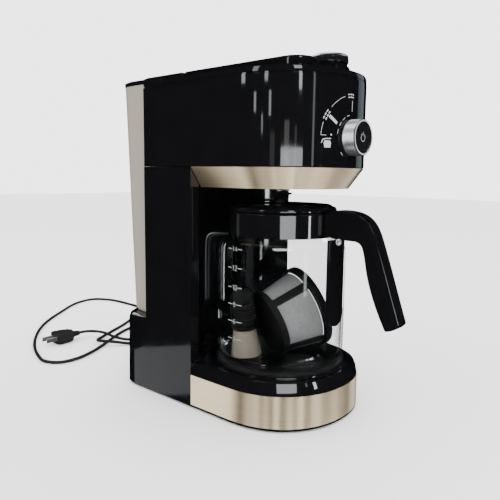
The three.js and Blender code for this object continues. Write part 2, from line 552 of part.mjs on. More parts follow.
function power() {
  const relief = join(
    rodAlongY(7, 190.2, 192.6, cordX, cordZ),
    rodAlongY(4.2, 178, 191, cordX, cordZ),
    solid(new THREE.CylinderGeometry(3.6, 5.6, 27, 16).translate(cordX, 205.5, cordZ)));
  piece('strain_relief', cut(relief, rodAlongY(cordRadius + 0.5, 150, 230, cordX, cordZ, 12)),
    materials.rubber);
  piece('cord', pipe(cordRoute, cordRadius, 8, 110), materials.rubber);

  // the plug: a flat block with a collar and a tapered relief, and two blades that point to -X
  const [blockX, faceX, reliefX] = [-38.5, -64, -23];
  const half = [12.5, 10.5];                // half-width at the face and at the cable
  const outline = new THREE.Shape([
    new THREE.Vector2(faceX, -half[0]), new THREE.Vector2(blockX, -half[1]),
    new THREE.Vector2(blockX, half[1]), new THREE.Vector2(faceX, half[0])]);
  const slab = solid(new THREE.ExtrudeGeometry(outline, { depth: 17.6, bevelEnabled: false })
    .translate(0, plugY, plugZ - 8.9));
  const collar = rodAlongX(8.2, blockX - 0.5, blockX + 2.2, plugY, plugZ, 20);
  const taper = solid(new THREE.CylinderGeometry(4.8, 3.4, reliefX - blockX - 1, 16).rotateZ(Math.PI / 2)
    .translate((blockX + reliefX + 1) / 2, plugY, plugZ));
  const cableHole = rodAlongX(cordRadius + 0.5, -39, 0, plugY, plugZ, 12);
  const slots = [-6.4, 6.4].map((y) => block([faceX - 1, faceX + 8], [plugY + y - 1.1, plugY + y + 1.1],
    [plugZ - 3.6, plugZ + 3.6]));
  piece('plug_body', cut(join(slab, collar, taper), cableHole, ...slots), materials.rubber);
  ['left', 'right'].forEach((name, i) => {
    const y = plugY + [6.4, -6.4][i];
    piece(`plug_blade_${name}`, block([faceX - 17, faceX + 7.7], [y - 0.75, y + 0.75],
      [plugZ - 3.2, plugZ + 3.2]),
      materials.satin);
  });
}

base();
tower();
head();
controls();
lid();
tank();
carafe();
contents();
power();

export default machine;
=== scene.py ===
"""The looks of the drip coffee maker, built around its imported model. Metres; the front faces -Y."""

import json
import math

import bmesh
import bpy
from mathutils import Matrix, Vector

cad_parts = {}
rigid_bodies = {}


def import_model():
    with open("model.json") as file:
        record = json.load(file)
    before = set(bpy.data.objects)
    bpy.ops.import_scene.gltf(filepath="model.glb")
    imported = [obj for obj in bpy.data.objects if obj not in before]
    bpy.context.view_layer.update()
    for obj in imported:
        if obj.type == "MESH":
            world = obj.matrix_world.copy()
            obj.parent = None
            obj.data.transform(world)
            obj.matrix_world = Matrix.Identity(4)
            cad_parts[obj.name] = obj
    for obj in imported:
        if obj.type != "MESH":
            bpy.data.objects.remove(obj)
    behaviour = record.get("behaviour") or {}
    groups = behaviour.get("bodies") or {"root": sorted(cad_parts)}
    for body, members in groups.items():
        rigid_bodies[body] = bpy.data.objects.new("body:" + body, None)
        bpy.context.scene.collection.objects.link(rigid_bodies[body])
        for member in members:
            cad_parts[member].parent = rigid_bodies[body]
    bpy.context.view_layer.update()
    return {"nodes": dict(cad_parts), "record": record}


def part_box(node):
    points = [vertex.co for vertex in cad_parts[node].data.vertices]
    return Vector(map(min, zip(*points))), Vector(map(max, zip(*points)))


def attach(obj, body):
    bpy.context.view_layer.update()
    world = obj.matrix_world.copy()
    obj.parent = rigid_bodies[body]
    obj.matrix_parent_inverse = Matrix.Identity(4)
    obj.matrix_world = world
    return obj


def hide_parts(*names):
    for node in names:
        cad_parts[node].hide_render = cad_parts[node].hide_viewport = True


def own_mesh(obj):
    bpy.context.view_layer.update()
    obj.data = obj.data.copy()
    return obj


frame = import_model()


def span(node):
    """The lowest and highest corners of a CAD node's box, to the nearest micrometre."""
    return [[round(value, 6) for value in corner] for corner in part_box(node)]


def centre_of(node, axis):
    low, high = span(node)
    return round((low[axis] + high[axis]) / 2, 6)


# ---- driving dimensions, from the frame where a node's box gives them ----
X, Y, Z = 0, 1, 2
FRONT_DEPTH = 0.082             # depth of the machine's round front, from its axis
ROUNDNESS = 2.16                # exponent of the front's outline
HALF_WIDTH = span("head_shell")[1][X]
AXIS_Y = round(span("head_shell")[0][Y] + FRONT_DEPTH, 6)
CARAFE = Vector((0, centre_of("carafe_glass", Y), 0))
GLASS_RADIUS = span("carafe_glass")[1][X]
KNOB_Z = centre_of("knob", Z)
KNOB_RADIUS = span("knob")[1][X]
KNOB_FRONT_Y, KNOB_BACK_Y = (corner[Y] for corner in span("knob"))
ORIGIN = Vector((0, 0, 0))
PRINT = 0.00006                 # how far a print stands off its surface


# ---- camera ----
def add_camera():
    """Looks from the front left and slightly above. The heading is turned from +Y towards +X."""
    heading, pitch, roll = (math.radians(angle) for angle in (48.7, 7.58, 0.68))
    place = Vector((-0.4841, AXIS_Y - 0.378, 0.2531))
    level = math.cos(pitch)
    ahead = Vector((math.sin(heading) * level, math.cos(heading) * level, -math.sin(pitch)))
    right = Vector((math.cos(heading), -math.sin(heading), 0))
    up = right.cross(ahead)
    turned_right = right * math.cos(roll) + up * math.sin(roll)
    turned_up = up * math.cos(roll) - right * math.sin(roll)
    data = bpy.data.cameras.new("camera")
    data.lens, data.sensor_width = 40.52, 36
    data.clip_start, data.clip_end = 0.01, 50
    camera = bpy.data.objects.new("camera", data)
    bpy.context.scene.collection.objects.link(camera)
    rotation = Matrix((turned_right, turned_up, -ahead)).transposed().to_4x4()
    camera.matrix_world = Matrix.Translation(place) @ rotation
    bpy.context.scene.camera = camera


add_camera()


# ---- materials ----
def surface(name, color, roughness, metallic=0.0, grain=(60, 60, 60), tint=0.1, rough_change=0.04, bump=0.0,
            detail=3.0, **sockets):
    """A Principled surface whose colour, roughness and height vary with one noise.

    grain is the noise's scale along X, Y and Z; tint and rough_change are how far colour and roughness vary;
    bump is the relief's height. A socket is named with _ for each space.
    """
    noise_low, noise_high = 0.3, 0.7        # where nearly all of the noise lies
    material = bpy.data.materials.new(name)
    material.use_nodes = True
    nodes, links = material.node_tree.nodes, material.node_tree.links
    shader = nodes["Principled BSDF"]
    place = nodes.new("ShaderNodeTexCoord")
    scale = nodes.new("ShaderNodeMapping")
    scale.inputs["Scale"].default_value = grain
    noise = nodes.new("ShaderNodeTexNoise")
    noise.inputs["Scale"].default_value = 1.0
    noise.inputs["Detail"].default_value = detail
    links.new(place.outputs["Object"], scale.inputs["Vector"])
    links.new(scale.outputs["Vector"], noise.inputs["Vector"])
    ramp = nodes.new("ShaderNodeValToRGB")
    dark, light = ramp.color_ramp.elements
    dark.position, light.position = noise_low, noise_high
    dark.color = (*[c * (1 - tint) for c in color], 1)
    light.color = (*[min(c * (1 + tint), 1) for c in color], 1)
    links.new(noise.outputs["Fac"], ramp.inputs["Fac"])
    links.new(ramp.outputs["Color"], shader.inputs["Base Color"])
    spread = nodes.new("ShaderNodeMapRange")
    spread.inputs["From Min"].default_value = noise_low
    spread.inputs["From Max"].default_value = noise_high
    spread.inputs["To Min"].default_value = max(roughness - rough_change, 0)
    spread.inputs["To Max"].default_value = roughness + rough_change
    links.new(noise.outputs["Fac"], spread.inputs["Value"])
    links.new(spread.outputs["Result"], shader.inputs["Roughness"])
    if bump:
        relief = nodes.new("ShaderNodeBump")
        relief.inputs["Strength"].default_value = 1.0
        relief.inputs["Distance"].default_value = bump
        links.new(noise.outputs["Fac"], relief.inputs["Height"])
        links.new(relief.outputs["Normal"], shader.inputs["Normal"])
    shader.inputs["Metallic"].default_value = metallic
    for socket, value in sockets.items():
        shader.inputs[socket.replace("_", " ")].default_value = value
    return material


def brushed(name, color, roughness):
    """Steel brushed round the machine: fine level lines, and highlights drawn out across them."""
    material = surface(name, color, roughness, 1.0, grain=(5, 5, 2600), tint=0.09, rough_change=0.06,
                       bump=0.000012, detail=2.0, Anisotropic=0.9, Anisotropic_Rotation=0.25)
    nodes, links = material.node_tree.nodes, material.node_tree.links
    tangent = nodes.new("ShaderNodeTangent")
    tangent.direction_type, tangent.axis = "RADIAL", "Z"
    links.new(tangent.outputs["Tangent"], nodes["Principled BSDF"].inputs["Tangent"])
    return material


def clear_glass():
    """Thin clear glass: what it doesn't reflect passes straight through, and its edges look more solid."""
    material = surface("clear_glass", (0.90, 0.93, 0.92), 0.012, 1.0, grain=(9, 9, 3), tint=0.02,
                       rough_change=0.008)
    nodes, links = material.node_tree.nodes, material.node_tree.links
    mirror = nodes.new("ShaderNodeFresnel")
    mirror.inputs["IOR"].default_value = 1.5
    side = nodes.new("ShaderNodeNewGeometry")
    edge = nodes.new("ShaderNodeLayerWeight")
    edge.inputs["Blend"].default_value = 0.5
    edge_sharpness, edge_strength, body_strength = 5.0, 0.55, 0.06

    def combine(operation, a, b):
        node = nodes.new("ShaderNodeMath")
        node.operation, node.use_clamp = operation, True
        for socket, value in zip(node.inputs, (a, b)):
            if isinstance(value, float):
                socket.default_value = value
            else:
                links.new(value, socket)
        return node.outputs["Value"]

    front = combine("MULTIPLY", mirror.outputs["Fac"], combine("SUBTRACT", 1.0, side.outputs["Backfacing"]))
    rim = combine("MULTIPLY", combine("POWER", edge.outputs["Facing"], edge_sharpness), edge_strength)
    seen = combine("ADD", combine("ADD", front, rim), body_strength)
    links.new(seen, nodes["Principled BSDF"].inputs["Alpha"])
    return material


def woven(name, color):
    """A fine square mesh."""
    material = surface(name, color, 0.55, 0.0, grain=(300, 300, 300), tint=0.12, rough_change=0.1)
    nodes, links = material.node_tree.nodes, material.node_tree.links
    place = nodes.new("ShaderNodeTexCoord")
    heights = []
    for axis in "XZ":
        wave = nodes.new("ShaderNodeTexWave")
        wave.bands_direction = axis
        wave.inputs["Scale"].default_value = 420
        links.new(place.outputs["Object"], wave.inputs["Vector"])
        heights.append(wave.outputs["Fac"])
    weave = nodes.new("ShaderNodeMath")
    weave.operation = "MAXIMUM"
    for i, height in enumerate(heights):
        links.new(height, weave.inputs[i])
    relief = nodes.new("ShaderNodeBump")
    relief.inputs["Distance"].default_value = 0.0001
    links.new(weave.outputs["Value"], relief.inputs["Height"])
    links.new(relief.outputs["Normal"], nodes["Principled BSDF"].inputs["Normal"])
    return material


LOOKS = {
    "gloss_black": surface("gloss_black", (0.0024, 0.0024, 0.0027), 0.05, grain=(35, 35, 35),
                           rough_change=0.03, bump=0.000012, Specular_IOR_Level=0.5),
    "knob_black": surface("knob_black", (0.004, 0.004, 0.0045), 0.09, bump=0.000005),
    "inner_plastic": surface("inner_plastic", (0.009, 0.009, 0.0095), 0.42, grain=(900, 900, 900),
                             bump=0.00004),
    "brushed_steel": brushed("brushed_steel", (0.66, 0.565, 0.41), 0.36),
    "satin_metal": surface("satin_metal", (0.66, 0.66, 0.67), 0.36, 1.0, grain=(30, 1800, 30), tint=0.06,
                           rough_change=0.08, bump=0.00001),
    "plate_coating": surface("plate_coating", (0.008, 0.008, 0.0085), 0.33, grain=(700, 700, 700),
                             bump=0.00003),
    "glass": clear_glass(),
    "frosted_tank": surface("frosted_tank", (0.30, 0.27, 0.225), 0.38, grain=(14, 14, 5), tint=0.05,
                            rough_change=0.06, bump=0.00002, Transmission_Weight=0.35, IOR=1.35),
    "filter_mesh": woven("filter_mesh", (0.15, 0.155, 0.155)),
    "rubber": surface("rubber", (0.014, 0.014, 0.014), 0.5, grain=(500, 500, 500), bump=0.00003),
    "silicone": surface("silicone", (0.13, 0.112, 0.085), 0.42, grain=(90, 90, 90), tint=0.06,
                        bump=0.00003),
    "circuit_board": surface("circuit_board", (0.02, 0.12, 0.04), 0.4, grain=(200, 200, 200)),
    "white_print": surface("white_print", (0.34, 0.35, 0.36), 0.5, grain=(900, 900, 900), tint=0.05),
}
SLOT_OF = {entry["node"]: entry["material_slot"] for entry in frame["record"]["subparts"]}
BODIES = frame["record"]["behaviour"]["bodies"]
BODY_OF = {node: body for body, nodes in BODIES.items() for node in nodes}


# ---- mesh helpers ----
def from_bmesh(name, shape, look, body):
    """A piece on a body, with the look named."""
    bmesh.ops.recalc_face_normals(shape, faces=shape.faces)
    for face in shape.faces:
        face.smooth = True
    mesh = bpy.data.meshes.new(name)
    shape.to_mesh(mesh)
    shape.free()
    mesh.materials.clear()
    mesh.materials.append(LOOKS[look])
    made = bpy.data.objects.new(name, mesh)
    bpy.context.scene.collection.objects.link(made)
    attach(made, body)
    return made


def soften(made, width, segments=3, angle=30):
    """Rounds the edges sharper than angle, and keeps flat faces flat in the shading."""
    if width:
        bevel = made.modifiers.new("rounded edges", "BEVEL")
        bevel.width, bevel.segments = width, segments
        bevel.limit_method, bevel.angle_limit = "ANGLE", math.radians(angle)
        bevel.miter_outer = "MITER_ARC"
    weights = made.modifiers.new("flat faces", "WEIGHTED_NORMAL")
    weights.keep_sharp = True
    return made


def refined(node, width, segments=3, suffix="_skin"):
    """A copy of a CAD node with joined facets and rounded edges, which stands for it."""
    shape = bmesh.new()
    shape.from_mesh(frame["nodes"][node].data)
    bmesh.ops.remove_doubles(shape, verts=shape.verts, dist=1e-6)
    bmesh.ops.dissolve_limit(shape, angle_limit=math.radians(0.6), verts=shape.verts, edges=shape.edges)
    made = from_bmesh(node + suffix, shape, SLOT_OF[node], BODY_OF[node])
    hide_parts(node)
    return soften(made, width, segments)


def lathe(profile, centre, segments=96, axis="Z"):
    """A closed body turned about an axis along Z or Y. The profile's points are (radius, distance)."""
    shape = bmesh.new()
    rings = []
    for i in range(segments):
        angle = 2 * math.pi * i / segments
        ring = []
        for radius, along in profile:
            across, aside = radius * math.cos(angle), radius * math.sin(angle)
            point = (across, aside, along) if axis == "Z" else (across, along, aside)
            ring.append(shape.verts.new(Vector(point) + centre))
        rings.append(ring)
    count = len(profile)
    for i in range(segments):
        here, there = rings[i], rings[(i + 1) % segments]
        for j in range(count):
            shape.faces.new((here[j], there[j], there[(j + 1) % count], here[(j + 1) % count]))
    bmesh.ops.remove_doubles(shape, verts=shape.verts, dist=1e-7)
    bmesh.ops.dissolve_degenerate(shape, edges=shape.edges, dist=1e-8)
    return shape


def strip(outline, place):
    """A thin print: a flat outline, in its own (across, up) metres, laid on the surface that place gives."""
    shape = bmesh.new()
    shape.faces.new([shape.verts.new(place(u, v)) for u, v in outline])
    return shape


def merged(shapes):
    """All the shapes as one, and the shapes are freed."""
    whole = bmesh.new()
    for shape in shapes:
        piece = bpy.data.meshes.new("part")
        shape.to_mesh(piece)
        shape.free()
        whole.from_mesh(piece)
        bpy.data.meshes.remove(piece)
    return whole


def band(points, width, place):
    """A line of that width along points, as quads."""
    shape = bmesh.new()
    pairs = []
    for i, (u, v) in enumerate(points):
        before, after = points[max(i - 1, 0)], points[min(i + 1, len(points) - 1)]
        run = Vector((after[0] - before[0], after[1] - before[1])).normalized()
        side = Vector((-run.y, run.x)) * width / 2
        pairs.append([shape.verts.new(place(u + s * side.x, v + s * side.y)) for s in (-1, 1)])
    for a, b in zip(pairs, pairs[1:]):
        shape.faces.new((a[0], b[0], b[1], a[1]))
    return shape


def arc(centre, radius, start, end, steps=24):
    """Points on an arc between two angles in degrees."""
    angles = [math.radians(start + (end - start) * i / steps) for i in range(steps + 1)]
    return [(centre[0] + radius * math.cos(a), centre[1] + radius * math.sin(a)) for a in angles]


def on_front(u, v):
    """A point on the head's round front, u to the right and v up."""
    depth = FRONT_DEPTH * (1 - abs(u / HALF_WIDTH) ** ROUNDNESS) ** (1 / ROUNDNESS)
    return Vector((u, AXIS_Y - depth - 3 * PRINT, v))


def rounded(points, radius, steps=5):
    """The closed profile with each corner cut by a short curve."""
    smooth = []
    count = len(points)
    for i, here in enumerate(points):
        here = Vector(here)
        before, after = Vector(points[i - 1]), Vector(points[(i + 1) % count])
        reach = min(radius, (before - here).length * 0.45, (after - here).length * 0.45)
        if here.x < 1e-6 or reach < 1e-6:
            smooth.append(tuple(here))
            continue
        a = here + (before - here).normalized() * reach
        b = here + (after - here).normalized() * reach
        for k in range(steps + 1):
            t = k / steps
            smooth.append(tuple(a * (1 - t) ** 2 + here * 2 * t * (1 - t) + b * t**2))
    return smooth


def ringed(count, start, pitch, radius, taper, ring):
    """Profile points of rings one after another, each smaller by taper.

    ring lists (drop below the radius, part of the pitch) for the points of one ring.
    """
    return [(radius - taper * i - drop, start + (i + part) * pitch)
            for i in range(count) for drop, part in ring]


# ---- the cord: the same route as in the CAD source ----
CORD_RADIUS = 0.0022
CORD_BORE = CORD_RADIUS + 0.0005        # of the pieces that sit round it
PLUG = Vector((-0.038, AXIS_Y + 0.375, 0.0093))
CORD_ROUTE = [                          # millimetres, from the axis of the round front
    (36, 178, 26), (36, 206, 26), (36, 222, 26), (35, 236, 21.5), (31, 250, 12.5), (25, 264, 5),
    (17.5, 279, 2.6), (6, 294.5, 3), (-7, 304, 5.6), (-17.5, 312.7, 7.4), (-21, 325, 6.4), (-14.5, 339, 3.8),
    (3.5, 352, 2.5), (84, 397, 2.5), (158, 458, 2.5), (165, 510, 2.5), (161, 560, 2.5),
    (141, 589, 2.5), (104, 584, 2.5), (38, 537, 2.5), (-28, 477.5, 2.5), (-84, 399, 2.5), (-111, 338, 2.5),
    (-117, 308, 2.5), (-106, 290, 2.5), (-84, 287, 2.5), (-50, 298.5, 2.5), (58, 360, 2.5), (84, 359, 2.5),
    (96.5, 338, 2.5), (80, 312, 2.5), (50, 299, 2.5), (26, 298, 3.6), (10, 306, 6), (3.5, 322, 7.8),
    (3.8, 348, 8.8), (-0.5, 362, 9.1), (-10, 372.4, 9.3), (-20, 375, 9.3), (-38, 375, 9.3),
]


def catmull_rom(points, steps):
    """Points along the smooth curve through points, with centripetal knots, as the CAD tube has."""
    ends = [points[0] * 2 - points[1], *points, points[-1] * 2 - points[-2]]
    smooth = []
    for a, b, c, d in zip(ends, ends[1:], ends[2:], ends[3:]):
        ab, bc, cd = [(q - p).length ** 0.5 for p, q in ((a, b), (b, c), (c, d))]
        out = ((b - a) / ab - (c - a) / (ab + bc) + (c - b) / bc) * bc
        into = ((c - b) / bc - (d - b) / (bc + cd) + (d - c) / cd) * bc
        for i in range(steps):
            t = i / steps
            smooth.append(b * (2 * t**3 - 3 * t**2 + 1) + out * (t**3 - 2 * t**2 + t)
                          + c * (3 * t**2 - 2 * t**3) + into * (t**3 - t**2))
    return [*smooth, points[-1]]


def add_cord():
    """The round cord, its points and its length. Its first step, inside the wall, is left out."""
    millimetre = 0.001
    route = [Vector((x * millimetre, AXIS_Y + y * millimetre, z * millimetre)) for x, y, z in CORD_ROUTE]
    points = catmull_rom(route, 8)[1:]
    data = bpy.data.curves.new("power_cord", "CURVE")
    data.dimensions = "3D"
    data.bevel_depth, data.bevel_resolution = CORD_RADIUS, 4
    data.use_fill_caps = True
    line = data.splines.new("POLY")
    line.points.add(len(points) - 1)
    for spot, p in zip(line.points, points):
        spot.co = (*p, 1)
    data.materials.append(LOOKS["rubber"])
    made = bpy.data.objects.new("power_cord", data)
    bpy.context.scene.collection.objects.link(made)
    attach(made, "machine")
    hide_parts("cord")
    length = sum((b - a).length for a, b in zip(points, points[1:]))
    return made, points, length


def add_plug():
    """A moulded two-blade plug: a tapered block, a ringed relief and flat blades."""
    low, high = span("plug_body")
    face, back = low[X], PLUG.x - 0.0005
    sections = ((face, 0.0122, 0.0085), (face + 0.004, 0.0125, 0.0088), (face + 0.016, 0.0113, 0.0086),
                (back, 0.0098, 0.0078))
    sides, squareness = 32, 0.35

    def squared(value):
        return math.copysign(abs(value) ** squareness, value)

    block = bmesh.new()
    rings = []
    for x, half_y, half_z in sections:
        ring = []
        for i in range(sides):
            angle = 2 * math.pi * i / sides
            y = PLUG.y + half_y * squared(math.cos(angle))
            z = PLUG.z + half_z * squared(math.sin(angle))
            ring.append(block.verts.new((x, y, z)))
        rings.append(ring)
    for here, there in zip(rings, rings[1:]):
        for i in range(sides):
            block.faces.new((here[i], here[(i + 1) % sides], there[(i + 1) % sides], there[i]))
    block.faces.new(rings[0])
    block.faces.new(rings[-1])

    start, end = back + 0.0002, high[X] - 0.0002
    count = 5
    pitch = (end - start - 0.0032) / count
    profile = [(CORD_BORE, start), (0.0082, start), (0.0084, start + 0.0014), (0.0056, start + 0.0026)]
    profile += ringed(count, start + 0.0028, pitch, 0.0050, 0.0003,
                      ((0.0009, 0), (0, 0.25), (0, 0.6), (0.0009, 0.85)))
    profile += [(CORD_BORE, end)]
    relief = lathe(profile, ORIGIN, 40)
    along_x = Matrix.Translation((0, PLUG.y, PLUG.z)) @ Matrix.Rotation(math.pi / 2, 4, "Y")
    bmesh.ops.transform(relief, verts=relief.verts, matrix=along_x)
    body = from_bmesh("plug_moulding", merged([block, relief]), "rubber", "machine")
    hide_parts("plug_body")
    soften(body, 0.0005, 2, 40)
    blades = [refined(node, 0.0003, 2, "_blade") for node in ("plug_blade_left", "plug_blade_right")]
    return [body, *blades]


def add_strain_relief():
    """A tapered sleeve with ring slots, in a flange against the platform's rear wall."""
    low, high = span("strain_relief")
    inner_y, end_y = low[Y] + 0.0005, high[Y] - 0.0002
    wall_y = span("tower_shell")[1][Y] + 0.0003         # the platform's rear wall ends here
    count = 6
    pitch = (end_y - wall_y - 0.0035) / count
    profile = [(CORD_BORE, inner_y), (0.0041, inner_y), (0.0041, wall_y), (0.0068, wall_y),
               (0.0068, wall_y + 0.0018), (0.0058, wall_y + 0.0026)]
    profile += ringed(count, wall_y + 0.003, pitch, 0.0055, 0.00032,
                      ((0, 0.1), (0, 0.6), (0.0008, 0.7), (0.0008, 0.95)))
    profile += [(CORD_BORE, end_y)]
    centre = Vector((centre_of("strain_relief", X), 0, centre_of("strain_relief", Z)))
    made = from_bmesh("strain_relief_sleeve", lathe(profile, centre, 40, "Y"), "rubber", "machine")
    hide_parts("strain_relief")
    return soften(made, 0.0002, 2, 40)


cord, cord_points, cord_length = add_cord()
plug_pieces = add_plug()
sleeve = add_strain_relief()

# ---- housings and other pieces that keep their CAD shape, with rounded edges ----
EDGE_WIDTHS = {
    "tower_shell": 0.0012, "bay_wall": 0.0006,
    "head_shell": 0.0006, "head_band": 0.0002, "head_floor": 0.0005,
    "base_shell": 0.0003, "base_band": 0.0002, "base_deck": 0.0005, "bottom_cover": 0.0006,
    "brew_lid": 0.0008, "tank_lid": 0.0008, "water_tank": 0.0006,
    "carafe_collar": 0.0006, "carafe_strap": 0.0011, "carafe_handle": 0.0038,
    "filter_frame": 0.0005, "filter_mesh": 0,
    "filter_basket": 0.0004, "brew_chamber": 0.0004, "drip_valve": 0.0004, "shower_head": 0.0005,
}
SMALL_EDGE, WIDE_EDGE = 0.00025, 0.003
MADE_ANEW = {"warming_plate", "carafe_glass", "carafe_lid", "knob", "power_button", "lid_knob",
             "water_filter_cup", "water_filter_cap", "cord", "plug_body", "plug_blade_left",
             "plug_blade_right", "strain_relief"}


def add_skins():
    for node, width in EDGE_WIDTHS.items():
        refined(node, width, 5 if width > WIDE_EDGE else 3)
    for node in frame["nodes"]:
        if node not in EDGE_WIDTHS and node not in MADE_ANEW:
            refined(node, SMALL_EDGE, 2)


def squash_spring():
    """Gives the spring under the basket a mesh of its own."""
    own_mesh(bpy.data.objects["valve_spring_skin"])


add_skins()
squash_spring()


# ---- carafe ----
def add_glass():
    """The jug: a straight wall with a rounded foot and shoulder, a neck, and a shallow ring in its floor."""
    (_, _, foot), (g, _, rim) = span("carafe_glass")
    straight_low, straight_high = 0.0700, 0.168
    outside = [(0, foot), (0.058, foot), (0.0665, 0.0580), (0.0692, 0.0640), (g, straight_low),
               (g, straight_high), (0.0692, 0.1765), (0.0664, 0.1828), (0.0608, 0.1874), (0.0560, 0.1898),
               (0.0541, 0.1935), (0.0540, rim)]
    inside = [(0.0516, rim), (0.0516, 0.1932), (0.0544, 0.1882), (0.0600, 0.1854), (0.0644, 0.1814),
              (0.0666, 0.1758), (0.0671, straight_high), (0.0671, straight_low), (0.0664, 0.0645),
              (0.0640, 0.0606), (0.058, 0.0590), (0.047, 0.0588), (0.0455, 0.0580), (0.044, 0.0588),
              (0, 0.0590)]
    shape = lathe(rounded(outside + inside, 0.004), CARAFE, 128)
    made = from_bmesh("glass_jug", shape, "glass", "carafe")
    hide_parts("carafe_glass")
    soften(made, 0)


def on_glass(angle_at, z_at):
    """Lays a print on the glass: u runs to the right round it from that angle, v up from that height."""
    def place(u, v):
        angle = angle_at + u / GLASS_RADIUS
        reach = GLASS_RADIUS + PRINT
        return CARAFE + Vector((reach * math.cos(angle), reach * math.sin(angle), z_at + v))
    return place


FIGURES = {                     # strokes of plain figures on a grid 2 wide and 4 high
    "0": [[(0, 0), (0, 4), (2, 4), (2, 0), (0, 0)]],
    "1": [[(0.4, 3.3), (1.2, 4), (1.2, 0)]],
    "2": [[(0, 3.4), (0.5, 4), (1.6, 4), (2, 3.2), (1.7, 2.2), (0, 0), (2, 0)]],
    "4": [[(1.5, 0), (1.5, 4), (0, 1.3), (2, 1.3)]],
    "6": [[(1.8, 3.7), (1, 4), (0.2, 3.2), (0, 1.2), (0.5, 0), (1.5, 0), (2, 1), (1.5, 2.1), (0.5, 2),
           (0.05, 1.3)]],
    "8": [[(1, 2.15), (0.2, 3), (0.5, 4), (1.5, 4), (1.8, 3), (1, 2.15), (0, 1.1), (0.5, 0), (1.5, 0),
           (2, 1.1), (1, 2.15)]],
}


def add_cup_marks():
    """The even numbers of cups, one above another, each between two dashes."""
    unit_across, unit_up, stroke = 0.00135, 0.00122, 0.00042
    advance = 2.9 * unit_across
    dash_gap, dash_end = 0.0014, 0.0102
    heights = {"4": 0.0848, "6": 0.1033, "8": 0.1212, "10": 0.1389, "12": 0.1591, "14": 0.1787}
    shapes = []
    for label, height in heights.items():
        place = on_glass(math.radians(175), height)
        width = 2 * unit_across + advance * (len(label) - 1)
        for i, figure in enumerate(label):
            left = -width / 2 + i * advance
            for line in FIGURES[figure]:
                points = [(left + u * unit_across, (v - 2) * unit_up) for u, v in line]
                shapes.append(band(points, stroke, place))
        for side in (-1, 1):
            inner, outer = side * (width / 2 + dash_gap), side * dash_end
            dash = [(inner, 0), ((inner + outer) / 2, 0), (outer, 0)]
            shapes.append(band(dash, 1.3 * stroke, place))
    from_bmesh("cup_marks", merged(shapes), "white_print", "carafe")


def add_carafe_lid():
    """A flat dome with a groove round its edge, a skirt that goes into the neck, and a hole in the middle."""
    z = span("carafe_collar")[1][Z] + 0.0004
    skirt_z = span("carafe_lid")[0][Z] + 0.0001
    profile = [(0.0050, z + 0.0014), (0.0456, z + 0.0012), (0.0456, skirt_z), (0.0493, skirt_z), (0.0493, z),
               (0.0585, z), (0.0588, z + 0.0022), (0.0576, z + 0.0046), (0.0562, z + 0.0050),
               (0.0556, z + 0.0044), (0.0546, z + 0.0052), (0.0520, z + 0.0074), (0.0440, z + 0.0079),
               (0.0320, z + 0.0079), (0.0140, z + 0.0062), (0.0050, z + 0.0043)]
    shape = lathe(rounded(profile, 0.0009, 3), CARAFE, 112)
    made = from_bmesh("lid_dome", shape, "gloss_black", "carafe_lid")
    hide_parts("carafe_lid")
    soften(made, 0)


def add_handle_washer():
    """The bright washer of the screw that holds the handle, on the handle's left side."""
    centre = Vector((span("carafe_handle")[0][X] - 0.0001, AXIS_Y - 0.0776, 0.1879))
    profile = [(0, 0), (0.0034, 0), (0.0034, 0.0006), (0.0028, 0.0011), (0.0016, 0.0011), (0.0013, 0.0006),
               (0, 0.0006)]
    shape = lathe(profile, ORIGIN, 40)
    facing_left = Matrix.Translation(centre) @ Matrix.Rotation(-math.pi / 2, 4, "Y")
    bmesh.ops.transform(shape, verts=shape.verts, matrix=facing_left)
    soften(from_bmesh("handle_washer", shape, "satin_metal", "carafe"), 0)


add_glass()
add_cup_marks()
add_carafe_lid()
add_handle_washer()


# ---- the water filter in the carafe ----
def add_water_filter():
    """A flared cup and a ribbed cap, which lean together on the glass."""
    lean = Matrix.Translation((-0.0422, AXIS_Y + 0.0135, 0.0609)) @ (
        Matrix.Rotation(math.radians(-3), 4, "Y") @ Matrix.Rotation(math.radians(-3.4), 4, "X"))
    outline = [(0, 0), (0.0164, 0), (0.0161, 0.0022), (0.0126, 0.0262), (0.0126, 0.028), (0, 0.028)]
    cup = lathe(rounded(outline, 0.0008), ORIGIN, 64)
    pitch = 0.0029
    ring = ((0, 0), (0, 0.0016 / pitch), (0.0008, 0.0019 / pitch), (0.0008, 0.0026 / pitch))
    outline = [(0, 0.0284), (0.0124, 0.0284), (0.0138, 0.0305), *ringed(9, 0.032, pitch, 0.0139, 0, ring),
               (0.0138, 0.0588), (0.0124, 0.0662), (0.0085, 0.0722), (0, 0.0749)]
    cap = lathe(outline, ORIGIN, 64)
    for name, shape, look, node in (("holder_cup", cup, "silicone", "water_filter_cup"),
                                    ("holder_cap", cap, "inner_plastic", "water_filter_cap")):
        bmesh.ops.transform(shape, verts=shape.verts, matrix=lean)
        made = from_bmesh(name, shape, look, "carafe")
        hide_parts(node)
        soften(made, 0)


add_water_filter()


# ---- warming plate ----
def add_plate():
    """A coated disc with a shallow groove near its edge and a skirt under it."""
    (_, _, low), (r, _, top) = span("warming_plate")
    under, edge_z = 0.0534, 0.0516
    profile = [(0, under), (0.054, under), (0.054, low), (0.057, low), (0.057, edge_z), (r, edge_z),
               (r, top - 0.001), (r - 0.001, top), (r - 0.004, top), (r - 0.0048, top - 0.0005),
               (r - 0.0056, top - 0.0005), (r - 0.0064, top), (0, top)]
    shape = lathe(rounded(profile, 0.0006, 3), CARAFE, 112)
    made = from_bmesh("hot_plate", shape, "plate_coating", "machine")
    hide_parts("warming_plate")
    soften(made, 0)


add_plate()


